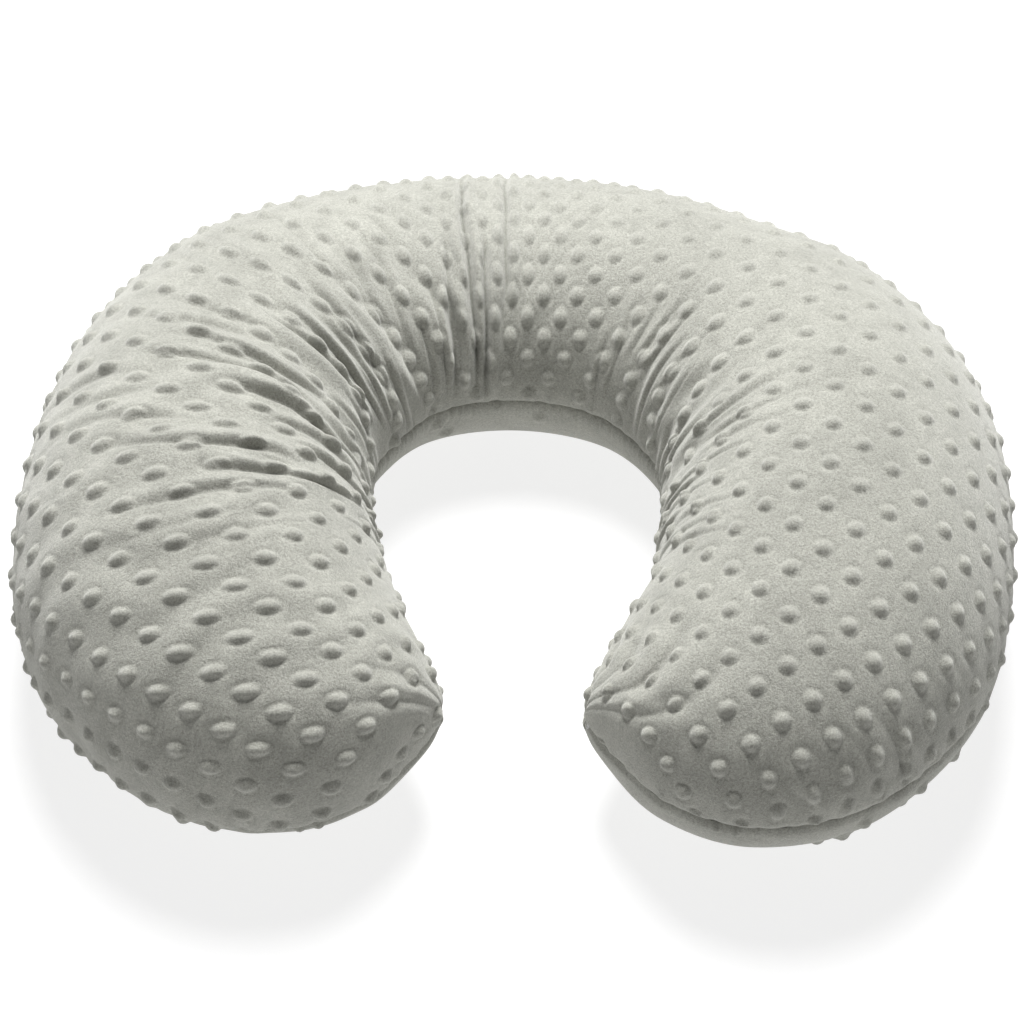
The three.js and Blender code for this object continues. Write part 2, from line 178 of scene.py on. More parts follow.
def surface(f, angle, inset=0.0, crown_inset=None):
    """Points on the pillow. angle is in degrees: 0 outer side, 90 crown, 180 waist, 270 underside."""
    if crown_inset is None:
        crown_inset = inset
    outer, inner = section_ends(f)
    middle = (outer + inner) / 2
    reach = outer - middle
    half = np.linalg.norm(reach, axis=-1) + 1e-9
    share = np.abs(f)
    past = np.clip((share - CAP_FROM) / (1 - CAP_FROM), 0, 1)
    cap = (1 - past ** CAP_ROUND) ** (1 / CAP_ROUND)
    rise = (BACK_RISE + (LOBE_RISE - BACK_RISE) * smooth(share / RISE_UNTIL)) * cap
    drop = SEAM_Z * cap
    turn = np.radians(angle)
    over = np.sin(turn) >= 0
    rounded = power(np.cos(turn), 2 / TOP_ROUND)
    climb = rise * np.abs(np.sin(turn)) ** (2 / TOP_ROUND)
    quarter = 1 - np.abs(np.mod(angle, 360) - 270) / 90
    flank = np.radians(90 * np.clip(quarter / FLANK_SHARE, 0, 1))
    reached = BASE_FLAT + (1 - BASE_FLAT) * np.cos(flank) ** (2 / BASE_ROUND)
    resting = BASE_FLAT * (1 - quarter) / (1 - FLANK_SHARE)
    under = np.sign(np.cos(turn)) * np.where(quarter < FLANK_SHARE, reached, resting)
    along = np.where(over, rounded, under)
    height = np.where(over, climb, -drop * np.sin(flank) ** (2 / BASE_ROUND))
    shrink = np.clip(1 - inset / half, 0, 1)
    plan = middle + reach * (along * shrink)[..., None]
    side = np.where(np.cos(turn) < 0, -1.0, 1.0)
    plan = plan + reach * (side * settling(f, angle) / half * smooth(half / 12.0))[..., None]
    room = np.clip(1 - crown_inset / np.maximum(np.where(over, rise, drop), 1.0), 0, 1)
    z = SEAM_Z + height * room
    return np.stack([plan[..., 0], plan[..., 1], z], -1)


def outward_normals(points):
    """Unit normals of a grid of points, pointing out of the pillow."""
    along = np.gradient(points, axis=0)
    round_section = np.gradient(points, axis=1)
    normal = np.cross(round_section, along)
    return normal / (np.linalg.norm(normal, axis=-1, keepdims=True) + 1e-12)


# ---------------------------------------------------------------- the dotted cloth

# The dots stand on a diamond lattice in the cloth, HALF_DIAGONAL from a row to the next.
HALF_DIAGONAL = 13.9
DOT_HEIGHT = 2.6
DOT_RADIUS = 4.5
DOT_MOAT = 0.45
DOT_MOAT_OUT = 0.9
DOT_MOAT_WIDTH = 1.3
DOT_DOME = 0.95
# The share of a half diagonal that finds a dot's centre, and how far a dot follows the lattice
# rather than the distance from that centre.
DOT_CORE = 0.35
DOT_LATTICE_SHARE = 0.15
DOT_WHOLE = 0.02
# Fully bunched cloth makes a dot this share longer and narrower.
DRAWN_LONGER = 1.0
DRAWN_NARROWER = 0.3
# Packing has pressed the dots flatter towards the right of the back.
PRESSED_SHARE = 0.16
PRESSED_REACH = 0.24
PRESSED_FLAT = 0.3
# On the left lobe the cloth is drawn straight across, whichever way the lobe turns.
DRAWN_ACROSS = (1.0, 0.18, 0.0)
DRAWN_FROM = 0.5
DRAWN_UNTIL = 0.72

# How the lattice lies on the cloth, in half diagonals by the millimetre. Across the pillow there
# are extra rows gathered in at the back; round it the rows bow towards the lobes.
ROWS_ACROSS = 0.060
GATHERED_ROWS = 3.6
GATHERED_REACH = 60.0
ACROSS_TWIST = -0.000033
FIRST_ROW = 0.6
ROWS_ROUND = 0.0839
BOW_FROM = 30.0
BOW = 0.0231
BOW_EASE = -0.000055
BOW_TWIST = -0.000059
SLANT = -0.0029


def cloth_position(flat):
    """Lattice coordinates of points given as places on the unrolled cloth."""
    x = flat[..., 0]
    y = flat[..., 1]
    far = np.sqrt(x * x + BOW_FROM ** 2) - BOW_FROM
    gathered = GATHERED_ROWS * np.tanh(x / GATHERED_REACH)
    across = ROWS_ACROSS * x + gathered + ACROSS_TWIST * x * y + FIRST_ROW
    bowed = BOW * far + BOW_EASE * far * far + BOW_TWIST * far * y
    return np.stack([across, ROWS_ROUND * y + bowed + SLANT * x], -1)


def unrolled(f, points):
    """Places on the unrolled cloth: the crown's plan curve, and the way round from the crown."""
    outer, inner = section_ends(f[:, 0])
    middle = (outer + inner) / 2
    across = outer - inner
    across /= np.linalg.norm(across, axis=-1, keepdims=True) + 1e-9
    steps = np.linalg.norm(np.diff(points, axis=1), axis=-1)
    round_length = np.concatenate([np.zeros((len(points), 1)), np.cumsum(steps, axis=1)], axis=1)
    return middle, across, round_length


def nearest_dot(lattice):
    """The lattice point nearest each place, and how far away it is, in half diagonals."""
    whole = np.round(lattice)
    odd = np.mod(whole.sum(-1), 2) > 0.5
    miss = lattice - whole
    first = np.abs(miss[..., 0]) > np.abs(miss[..., 1])
    whole[..., 0] += np.where(odd & first, np.sign(miss[..., 0]), 0)
    whole[..., 1] += np.where(odd & ~first, np.sign(miss[..., 1]), 0)
    return whole, np.linalg.norm(lattice - whole, axis=-1)


def drawn_direction(f, points):
    """Unit directions in which bunched cloth draws its dots out: round the section, or across."""
    round_section = np.gradient(points, axis=1)
    round_section /= np.linalg.norm(round_section, axis=-1, keepdims=True) + 1e-9
    across = smooth((-f - DRAWN_FROM) / (DRAWN_UNTIL - DRAWN_FROM))[:, None, None]
    facing = np.sign(round_section[..., :1])
    drawn = (1 - across) * round_section + across * facing * np.array(DRAWN_ACROSS)
    return drawn / (np.linalg.norm(drawn, axis=-1, keepdims=True) + 1e-9)


def dot_heights(points, lattice, drawn, bunching, pressed):
    """Height of the raised dots at each point of a grid; bunched cloth draws them out."""
    whole, away = nearest_dot(lattice)
    keys = (whole[..., 0] + 500).astype(np.int64) * 2000 + (whole[..., 1] + 500).astype(np.int64)
    unique, label = np.unique(keys.ravel(), return_inverse=True)
    weight = np.clip(DOT_CORE - away, 0, None).ravel() ** 2
    total = np.bincount(label, weight, len(unique))
    flat_points = points.reshape(-1, 3)
    centre = np.stack([np.bincount(label, weight * flat_points[:, k], len(unique)) for k in range(3)], -1)
    centre /= np.maximum(total, 1e-9)[:, None]
    offset = points - centre[label].reshape(points.shape)
    drawn_part = (offset * drawn).sum(-1)
    rest = np.sqrt(np.clip((offset ** 2).sum(-1) - drawn_part ** 2, 0, None))
    reach = np.hypot(drawn_part / (1 + DRAWN_LONGER * bunching), rest / (1 - DRAWN_NARROWER * bunching))
    cloth_reach = away * HALF_DIAGONAL
    mixed = np.sqrt((1 - DOT_LATTICE_SHARE) * reach ** 2 + DOT_LATTICE_SHARE * cloth_reach ** 2)
    mixed = np.where(reach < 2 * DOT_RADIUS, mixed, np.inf)
    complete = (total > DOT_WHOLE)[label].reshape(away.shape)
    dome = np.clip(1 - (mixed / DOT_RADIUS) ** 2, 0, 1) ** DOT_DOME
    moat = DOT_MOAT * bump(mixed, DOT_RADIUS + DOT_MOAT_OUT, DOT_MOAT_WIDTH)
    return np.where(complete, DOT_HEIGHT * dome - moat, 0.0) * pressed[:, None]


# ---------------------------------------------------------------- meshes

def mesh_object(name, points, faces, normals=None):
    mesh = bpy.data.meshes.new(name)
    mesh.from_pydata((np.asarray(points) * MM).tolist(), [], faces)
    mesh.update()
    mesh.shade_smooth()
    if normals is not None:
        mesh.normals_split_custom_set_from_vertices(normals.tolist())
    made = bpy.data.objects.new(name, mesh)
    bpy.context.scene.collection.objects.link(made)
    return made


def grid_faces(rows, columns, flip=False, wrap=False):
    """Quads of a grid of points numbered row by row; wrap joins the last column to the first."""
    last = columns if wrap else columns - 1
    row, column = np.meshgrid(np.arange(rows - 1), np.arange(last), indexing="ij")
    after = (column + 1) % columns
    here = row * columns
    ahead = (row + 1) * columns
    corners = [here + column, ahead + column, ahead + after, here + after]
    if flip:
        corners.reverse()
    return np.stack([corner.ravel() for corner in corners], -1).tolist()


def closed_faces(rows, columns, flip=False, wrap=True):
    """The quads of a grid, and a face over its first row and over its last."""
    faces = grid_faces(rows, columns, flip, wrap)
    first = list(range(columns))
    last = list(range((rows - 1) * columns, rows * columns))
    reversed_end = last if flip else first
    reversed_end.reverse()
    return faces + [first, last]


# ---------------------------------------------------------------- cloth simulation

COARSE_STATIONS = 281
COARSE_ROUND = 104
COARSE_END = 0.994
TOP_STEPS = 64
SIM_FRAMES = 20
CLOTH_SETTINGS = {
    "quality": 5,
    "mass": 0.2,
    "tension_stiffness": 12,
    "compression_stiffness": 12,
    "shear_stiffness": 6,
    "bending_stiffness": 0.05,
    "vertex_group_mass": "held",
    "pin_stiffness": 1.0,
    "vertex_group_shrink": "extra",
    "shrink_min": 0.0,
    "shrink_max": -0.16,
    "use_pressure": True,
    "uniform_pressure_force": 4.0,
}
SIM_CAP = 7.0
SIM_SHARE = 1.3
LIFT_FLOOR = 4.0
SWELLING_REACH = 5


def coarse_grid():
    f = np.linspace(-COARSE_END, COARSE_END, COARSE_STATIONS)
    top = np.linspace(0, 180, TOP_STEPS, endpoint=False)
    base = np.linspace(180, 360, COARSE_ROUND - TOP_STEPS, endpoint=False)
    angles = np.concatenate([top, base])
    stations, turns = np.meshgrid(f, angles, indexing="ij")
    return f, angles, surface(stations, turns)


# Where the cover has more cloth than it needs. The last two run along the seams everywhere.
EVERYWHERE = 1.0e6
SPARE_CLOTH = (
    # (share, angle, reach along, reach round, amount)
    (-0.42, 140, 0.20, 42, 1.0),
    (-0.02, 105, 0.07, 65, 1.0),
    (0.40, 140, 0.20, 42, 0.55),
    (0.80, 150, 0.12, 25, 0.6),
    (0.0, 5, EVERYWHERE, 14, 0.5),
    (0.0, 175, EVERYWHERE, 12, 0.5),
)


def gather_weights(f, angles):
    """How much spare cloth there is at each point of a grid, from 0 to 1."""
    amount = np.zeros((len(f), len(angles)))
    for *place, spare in SPARE_CLOTH:
        amount += spare * patch(f, angles, *place)
    return np.clip(amount, 0, 1)


def simulated_cloth():
    """How far Blender's cloth moves each coarse point outwards, in millimetres."""
    f, angles, points = coarse_grid()
    count = COARSE_STATIONS * COARSE_ROUND
    faces = closed_faces(COARSE_STATIONS, COARSE_ROUND, flip=True)
    shell = mesh_object("cloth_trial", points.reshape(-1, 3), faces)
    held = shell.vertex_groups.new(name="held")
    extra = shell.vertex_groups.new(name="extra")
    stations, turns = np.meshgrid(f, angles, indexing="ij")
    seam = np.minimum(np.abs(turns), np.abs(turns - 180)) < 1.0
    under = bump(turns, 270, 50)
    hold = np.clip(np.where(seam, 1.0, 0.0) + under + bump(np.abs(stations), 1.0, 0.03), 0, 1)
    hold = hold.ravel()
    spare = gather_weights(f, angles).ravel()
    for index in range(count):
        if hold[index] > 0.02:
            held.add([index], float(hold[index]), "REPLACE")
        if spare[index] > 0.01:
            extra.add([index], float(spare[index]), "REPLACE")
    cloth = shell.modifiers.new("cloth", "CLOTH")
    for setting, value in CLOTH_SETTINGS.items():
        setattr(cloth.settings, setting, value)
    cloth.settings.effector_weights.gravity = 0.0
    cloth.collision_settings.use_collision = False
    cloth.collision_settings.use_self_collision = False
    cloth.point_cache.frame_start = 1
    cloth.point_cache.frame_end = SIM_FRAMES
    scene = bpy.context.scene
    for number in range(1, SIM_FRAMES + 1):
        scene.frame_set(number)
    settled = shell.evaluated_get(bpy.context.evaluated_depsgraph_get())
    moved = np.empty(count * 3)
    settled.data.vertices.foreach_get("co", moved)
    scene.frame_set(1)
    bpy.data.objects.remove(shell)
    shift = moved.reshape(points.shape) / MM - points
    outwards = (shift * outward_normals(points)).sum(-1)
    return f, angles, outwards


def blurred(grid, size, axis):
    """Moving average of a grid along one axis, its edges held."""
    padded = np.concatenate([np.repeat(np.take(grid, [0], axis), size, axis), grid,
                             np.repeat(np.take(grid, [-1], axis), size, axis)], axis)
    sums = np.cumsum(padded, axis)
    ahead = np.take(sums, np.arange(2 * size, padded.shape[axis]), axis)
    behind = np.take(sums, np.arange(0, padded.shape[axis] - 2 * size), axis)
    return (ahead - behind) / (2 * size)


def wrinkles_of(outwards):
    """The folds alone: the settled cloth less its overall swelling, held to SIM_CAP."""
    swelling = blurred(blurred(outwards, SWELLING_REACH, 0), SWELLING_REACH, 1)
    folds = outwards - swelling
    return SIM_CAP * np.tanh(folds / SIM_CAP)


def spline_weights(wanted, known):
    """Matrix that carries values at evenly spaced places to other places by smooth cubics."""
    step = known[1] - known[0]
    place = np.clip((wanted - known[0]) / step, 0, len(known) - 1.0001)
    low = np.floor(place).astype(int)
    t = place - low
    weights = np.zeros((len(wanted), len(known)))
    parts = (
        (-1, -0.5 * t + t * t - 0.5 * t ** 3),
        (0, 1 - 2.5 * t * t + 1.5 * t ** 3),
        (1, 0.5 * t + 2 * t * t - 1.5 * t ** 3),
        (2, -0.5 * t * t + 0.5 * t ** 3),
    )
    rows = np.arange(len(wanted))
    for shift, part in parts:
        columns = np.clip(low + shift, 0, len(known) - 1)
        np.add.at(weights, (rows, columns), part)
    return weights


# ---------------------------------------------------------------- listed folds

# Each fold runs round the section. Its place is a share along the pillow, its ends are angles
# round the section, its lean is the share it shifts by from end to end, and it stands
# its height above the cloth, with a groove of the same width on its far side.
FOLDS = (
    # (share, from, to, lean, height, width)
    (-0.150, 115, 172, 0.030, 1.6, 5.0),
    (-0.262, 100, 168, 0.030, 2.0, 5.0),
    (-0.365, 88, 164, 0.018, 1.8, 4.6),
    (-0.452, 78, 172, 0.002, 2.0, 4.6),
    (-0.500, 88, 170, -0.006, 1.8, 4.6),
    (0.330, 120, 170, -0.01, 1.2, 5.0),
    (0.430, 120, 168, 0.000, 1.4, 5.0),
)

# Sharp creases across the middle of the back, where the cloth is folded in on itself.
CREASES = (
    # (share, from, to, lean, depth, width)
    (-0.046, 34, 179, -0.042, 5.0, 2.0),
    (-0.042, 92, 177, -0.028, 4.2, 1.9),
    (-0.013, 34, 135, -0.010, 3.6, 1.8),
    (-0.085, 90, 176, -0.050, 3.0, 2.1),
)

# Painted shade along a crease: its width, and the crease depth at which it is full.
CREASE_SHADE_WIDTH = 1.1
DEEPEST_CREASE = 5.0
# How far folds and creases stray from straight lines, in shares along the pillow.
FOLD_SWAY = 0.004
CREASE_SWAY = 0.0006
FOLD_GROOVE = 0.75
CREASE_LIP = 0.45

# Bunched cloth, where the dots are drawn out round the section, or, below 0, towards the tip.
BUNCHED = (
    # (share, angle, reach along, reach round, bunching)
    (-0.50, 112, 0.22, 70, 1.0),
    (-0.30, 120, 0.14, 66, 1.0),
    (-0.06, 112, 0.12, 60, 0.8),
    (-0.72, 75, 0.22, 70, 0.8),
    (0.30, 145, 0.16, 40, 0.6),
    (0.76, 16, 0.08, 24, 0.6),
    (0.88, 112, 0.08, 44, -0.5),
    (-0.88, 135, 0.07, 40, -0.4),
)

# Patches of ridges. They run round the section, leaning by a share of the way to the tip.
RIDGED = (
    # (share, angle, reach along, reach round, height)
    (-0.57, 116, 0.08, 52, 2.8),
    (-0.46, 112, 0.11, 62, 3.2),
    (-0.31, 118, 0.11, 60, 2.8),
    (-0.15, 126, 0.08, 50, 2.6),
    (0.22, 150, 0.10, 32, 1.8),
    (0.44, 150, 0.13, 34, 2.2),
    (0.62, 155, 0.08, 26, 1.8),
    (0.77, 14, 0.07, 18, 2.6),
    (-0.80, 10, 0.10, 20, 1.8),
)
RIDGE_SPACING = 9.6
RIDGE_LEAN = 0.00022
RIDGE_WIDTH = 2.3
RIDGE_LEANS_FROM = 130.0
RIDGE_WAVE = 9.0
RIDGE_SWING = 0.30
RIDGE_WANDER = 1.2
RIDGE_GROOVE = 0.8
RIDGE_EDGE = 0.07

# Pleats that run along the lobe towards its tip.
PLEATED = (
    # (share, angle, reach along, reach round, height)
    (0.88, 112, 0.070, 42, 2.4),
    (-0.92, 112, 0.050, 38, 1.3),
)
PLEAT_ANGLE = 23.0
PLEAT_WIDTH = 0.24
PLEAT_GROOVE = 0.13
PLEAT_SWAY = 9.0

# Broad swells where the cloth is bunched.
CRUMPLE = 1.2
CRUMPLE_SPACING = 23.0


def fold_heights(f, angles, along_length):
    """Height of the listed folds on a grid, in millimetres, and the painted shade along their creases."""
    height = np.zeros((len(f), len(angles)))
    painted_shade = np.zeros((len(f), len(angles)))

    def from_line(share, start, stop, lean, sway, taper):
        """Distances from a line round the section, and how fully each angle lies between its ends."""
        part = (angles - start) / (stop - start)
        centre = share + lean * np.clip(part, 0, 1) + sway
        away = (f[:, None] - centre[None, :]) * along_length
        return away, (smooth(part * taper) * smooth((1 - part) * taper))[None, :]

    for share, start, stop, lean, rise, width in FOLDS:
        sway = FOLD_SWAY * np.sin(angles / 11.0 + share * 90.0)
        away, inside = from_line(share, start, stop, lean, sway, 4)
        ridge = bump(away, 0.0, width) - FOLD_GROOVE * bump(away, 1.7 * width, width)
        height += rise * ridge * inside
    for share, start, stop, lean, depth, width in CREASES:
        sway = CREASE_SWAY * np.sin(angles / 7.0 + share * 300.0)
        away, inside = from_line(share, start, stop, lean, sway, 5)
        lips = bump(away, 2.4 * width, 1.6 * width) + 0.7 * bump(away, -2.6 * width, 1.8 * width)
        height += depth * (CREASE_LIP * lips - bump(away, 0.0, width)) * inside
        # Painted shade along the crease, fuller the deeper the crease.
        painted_shade = np.maximum(painted_shade, bump(away, 0.0, CREASE_SHADE_WIDTH) * inside * depth / DEEPEST_CREASE)
    return height, painted_shade


def bunching_of(f, angles):
    """How bunched the cloth is on a grid, from -1 to 1."""
    amount = np.zeros((len(f), len(angles)))
    for *place, bunching in BUNCHED:
        here = bunching * patch(f, angles, *place)
        amount = np.where(np.abs(here) > np.abs(amount), here, amount)
    return amount


def scattered(number, salt):
    """A fixed, scattered value from 0 to 1 for each whole number."""
    return np.mod(np.sin(number * (12.9898 + 7.13 * salt)) * 43758.5453, 1.0)


def ridges(f, angles, path_length):
    """Rope-like ridges round the section, each with a groove on the side towards the lobe."""
    side = np.where(f < 0, -1.0, 1.0)[:, None]
    turned = (angles - RIDGE_LEANS_FROM)[None, :]
    share = np.abs(f)[:, None] - RIDGE_LEAN * turned
    along = turned / RIDGE_WAVE
    swing = RIDGE_SWING * np.sin(0.31 * along + 0.55 * share * path_length / RIDGE_SPACING + side)
    place = share * path_length / RIDGE_SPACING + swing
    number = np.round(place) + 40 * side
    start = 2 * np.pi * scattered(number, 1)
    strength = smooth(0.60 + 0.75 * np.sin(0.62 * along + start)) * (0.55 + 0.6 * scattered(number, 3))
    wander = RIDGE_WANDER * np.sin(0.9 * along + 2 * np.pi * scattered(number, 2))
    miss = place - np.round(place)
    away = miss * RIDGE_SPACING + wander
    profile = bump(away, 0.0, RIDGE_WIDTH)
    profile -= RIDGE_GROOVE * bump(away, 1.55 * RIDGE_WIDTH, 0.6 * RIDGE_WIDTH)
    profile *= smooth((0.5 - np.abs(miss)) / RIDGE_EDGE)
    height = np.zeros((len(f), len(angles)))
    for *place, rise in RIDGED:
        height = np.maximum(height, rise * patch(f, angles, *place))
    return height * strength * profile


def pleats(f, angles):
    """Soft pleats fanning out from the lobes' tips."""
    place = (angles[None, :] + PLEAT_SWAY * np.sin(22.0 * f)[:, None]) / PLEAT_ANGLE
    away = np.abs(place - np.round(place))
    profile = bump(away, 0.0, PLEAT_WIDTH) - 0.9 * bump(away, 0.5, PLEAT_GROOVE)
    strength = 0.8 + 0.35 * np.sin(2.1 * place)
    height = np.zeros((len(f), len(angles)))
    for *place, rise in PLEATED:
        height += rise * patch(f, angles, *place)
    return height * strength * profile


def crumpling(f, angles, path_length, bunching):
    """Broad uneven swells round the section where the cloth is bunched."""
    place = (f * path_length)[:, None] / CRUMPLE_SPACING
    turn = np.radians(angles)[None, :]
    drift = 0.35 * np.sin(2.6 * turn + 0.9 * place) + 0.22 * np.sin(5.3 * turn - 1.7 * place + 1.0)
    return CRUMPLE * np.abs(bunching) * np.sin(2 * np.pi * (place + drift))


# ---------------------------------------------------------------- the cover panels

FINE_PER_HALF = 480
FINE_END = 0.9985
TOP_ROWS = 150
BASE_ROWS = 86
LIP_DEPTHS = (1.4, 3.4, 6.6)
REST_GAP = 2.2
REST_FROM = 12.0
# How far from a seam the folds start, and where the dots start and stand full.
CALM_EDGE = 9.0
DOT_FREE_EDGE = 1.5
DOT_EDGE_FADE = 4.0
# How much painted shade the grooves between the ridges and pleats get, against the deepest crease.
GROOVE_SHADE = 0.3
# The pull of a seam's stitching, and the puckers beside it.
PINCH_DEPTH = 2.0
PINCH_REACH = 2.4
PUCKER = 0.3
# The way from the crown down to the seam, against the straight line.
CROWN_ARC = 1.12
FLOOR_GAP = 0.2


def seam_angles(f):
    """Angles at which the top and bottom panels end on the outer side, apart along the zip."""
    slot = smooth((SLOT_HALF_ANGLE + SLOT_OVERRUN - back_angle(f)) / SLOT_CLOSING)
    top = np.degrees(np.arcsin(np.clip((SLOT_HALF_HEIGHT * slot / BACK_RISE) ** (TOP_ROUND / 2), 0, 1)))
    base = np.degrees(np.arcsin(np.clip((SLOT_HALF_HEIGHT * slot / SEAM_Z) ** (BASE_ROUND / 2), 0, 1)))
    turned = smooth((np.abs(f) - ROLL_FROM) / (ROLL_UNTIL - ROLL_FROM))
    roll = np.where(f < 0, LEFT_ROLL, RIGHT_ROLL) * turned
    return top - roll, base + roll


def seam_pinch(distance, run):
    """Inward pull beside a seam, with the small puckers the stitching makes."""
    pull = PINCH_DEPTH * bump(distance, 0.0, PINCH_REACH)
    beat = np.sin(run / 1.9) + 0.7 * np.sin(run / 3.1 + 1.3) + 0.5 * np.sin(run / 1.25 + 0.4)
    return pull + PUCKER * beat * bump(distance, 4.0, 6.0)


def cover_grid(folds, which):
    """Points of one panel of the cover on a fine grid, dots and folds included, and the painted shade
    along its creases and grooves.
    """
    f = np.linspace(-FINE_END, FINE_END, 2 * FINE_PER_HALF + 1)
    top_edge, base_edge = seam_angles(f)
    if which == "top":
        rows = TOP_ROWS
        known = slice(0, TOP_STEPS)
        fine_angles = np.linspace(0, 180, rows)
        turns = top_edge[:, None] + (180 - top_edge[:, None]) * np.linspace(0, 1, rows)[None, :]
    else:
        rows = BASE_ROWS
        known = slice(TOP_STEPS, None)
        fine_angles = np.linspace(180, 360, rows)
        turns = 180 + (180 - base_edge[:, None]) * np.linspace(0, 1, rows)[None, :]
    stations = np.repeat(f[:, None], rows, axis=1)
    smooth_points = surface(stations, turns)
    normals = outward_normals(smooth_points)

    sim_f, sim_angles, sim_folds = folds
    round_weights = spline_weights(fine_angles, sim_angles[known]).T
    carried = spline_weights(f, sim_f) @ sim_folds[:, known] @ round_weights

    along = np.linalg.norm(np.gradient(smooth_points, axis=0), axis=-1) / (f[1] - f[0])
    lift = SIM_SHARE * carried
    bunching = bunching_of(f, fine_angles)
    painted_shade = np.zeros(stations.shape)
    if which == "top":
        path_length = np.interp(RIDGE_LEANS_FROM, fine_angles, along.mean(axis=0))
        folded, painted_shade = fold_heights(f, fine_angles, along)
        lift = lift + folded + crumpling(f, fine_angles, path_length, bunching)
    middle, across, round_length = unrolled(stations, smooth_points)
    whole = round_length[:, -1:]
    from_crown = round_length[:, rows // 2:rows // 2 + 1] - round_length
    if which == "base":
        crown = surface(f, np.full(f.shape, 90.0))
        crown_to_seam = CROWN_ARC * np.linalg.norm(crown - smooth_points[:, 0], axis=-1)
        from_crown = -round_length - crown_to_seam[:, None]
    flat = middle[:, None, :] + across[:, None, :] * from_crown[..., None]
    lattice = cloth_position(flat)
    to_edge = np.minimum(round_length, whole - round_length)
    if which == "top":
        roped = ridges(f, fine_angles, path_length) + pleats(f, fine_angles)
        # Painted shade in the grooves between the ridges and pleats.
        painted_shade = np.maximum(painted_shade, GROOVE_SHADE * np.clip(-roped, 0, 1))
        lift = lift + roped
    lift = np.maximum(lift * smooth(to_edge / CALM_EDGE), -LIFT_FLOOR)
    bumped = smooth_points + normals * lift[..., None]
    fade = smooth((to_edge - DOT_FREE_EDGE) / DOT_EDGE_FADE)
    pressed = 1 - PRESSED_FLAT * bump(f, PRESSED_SHARE, PRESSED_REACH)
    lift = lift + dot_heights(bumped, lattice, drawn_direction(f, bumped), bunching, pressed) * fade

    outer_run = TIP_RUN * np.abs(f)[:, None]
    inner_run = (WHOLE_RUN - TIP_RUN) * (1 - np.abs(f))[:, None]
    run = np.where(round_length < whole / 2, outer_run, inner_run)
    inward = seam_pinch(to_edge, run)
    points = smooth_points + normals * (lift - inward)[..., None]
    rest = REST_GAP * smooth((REST_FROM - smooth_points[..., 2]) / REST_FROM)
    points[..., 2] = np.maximum(points[..., 2] + rest, FLOOR_GAP)

    inwards = -across if which == "top" else across
    first = lip(points[:, 0], inwards)
    last = lip(points[:, -1], -inwards)
    points = np.concatenate([first[:, ::-1], points, last], axis=1)
    edge = len(LIP_DEPTHS)
    return points, np.pad(painted_shade, ((0, 0), (edge, edge)))


def lip(edge, inwards):
    """Rows that carry a panel's edge into the seam."""
    rows = []
    for depth in LIP_DEPTHS:
        row = edge.copy()
        row[:, :2] += inwards * depth
        rows.append(row)
    return np.stack(rows, axis=1)


def cover_pieces(name, folds, which, node):
    """One panel of the cover, as a left and a right piece that meet at the back's middle."""
    points, painted_shade = cover_grid(folds, which)
    normals = outward_normals(points)
    rows = points.shape[1]
    halves = {"left": slice(0, FINE_PER_HALF + 1), "right": slice(FINE_PER_HALF, 2 * FINE_PER_HALF + 1)}
    made = []
    for side, part in halves.items():
        chosen = points[part].reshape(-1, 3)
        directions = normals[part].reshape(-1, 3)
        faces = grid_faces(FINE_PER_HALF + 1, rows, flip=True)
        tip_row = 0 if side == "left" else FINE_PER_HALF
        ring = [tip_row * rows + k for k in range(rows)]
        tip = chosen[ring].mean(axis=0)
        chosen = np.concatenate([chosen, tip[None]])
        out = np.array([[0.0, -1.0, 0.0]])
        directions = np.concatenate([directions, out])
        for k in range(rows - 1):
            triangle = [ring[k], ring[k + 1], len(chosen) - 1]
            faces.append(triangle if side == "left" else triangle[::-1])
        piece = mesh_object(name + "_" + side, chosen, faces, directions)
        # The painted crease shade goes on the mesh as a point attribute for the material.
        attribute = piece.data.attributes.new("painted_shade", "FLOAT", "POINT")
        attribute.data.foreach_set("value", np.append(painted_shade[part].ravel(), 0.0))
        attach(piece, "cushion")
        made.append(piece)
    for piece in made:
        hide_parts(node)
    return made


# ---------------------------------------------------------------- materials

WHITE = (1.0, 1.0, 1.0)


def material(name):
    """A new material, its node tree and its shader."""
    made = bpy.data.materials.new(name)
    made.use_nodes = True
    tree = made.node_tree
    return made, tree, tree.nodes["Principled BSDF"]


def set_inputs(node, values):
    for name, value in values.items():
        node.inputs[name].default_value = value


def noise(tree, place, scale, detail=4.0, roughness=0.6):
    node = tree.nodes.new("ShaderNodeTexNoise")
    tree.links.new(place, node.inputs["Vector"])
    set_inputs(node, {"Scale": scale, "Detail": detail, "Roughness": roughness})
    return node


def ramp(tree, source, stops):
    node = tree.nodes.new("ShaderNodeValToRGB")
    tree.links.new(source, node.inputs["Fac"])
    elements = node.color_ramp.elements
    while len(elements) < len(stops):
        elements.new(0.5)
    for element, (place, colour) in zip(elements, stops):
        element.position = place
        element.color = (*colour, 1.0)
    return node.outputs["Color"]


def mix(tree, a, b, factor, blend="MIX"):
    node = tree.nodes.new("ShaderNodeMix")
    node.data_type = "RGBA"
    node.blend_type = blend
    if isinstance(factor, float):
        node.inputs[0].default_value = factor
    else:
        tree.links.new(factor, node.inputs[0])
    tree.links.new(a, node.inputs[6])
    tree.links.new(b, node.inputs[7])
    return node.outputs[2]


def object_place(tree):
    return tree.nodes.new("ShaderNodeTexCoord").outputs["Object"]


def relief(tree, shader, *layers):
    """Bumps laid over one another, each a height, a strength and a depth in metres."""
    under = None
    for height, strength, depth in layers:
        layer = tree.nodes.new("ShaderNodeBump")
        set_inputs(layer, {"Strength": strength, "Distance": depth})
        tree.links.new(height, layer.inputs["Height"])
        if under is not None:
            tree.links.new(under, layer.inputs["Normal"])
        under = layer.outputs["Normal"]
    tree.links.new(under, shader.inputs["Normal"])


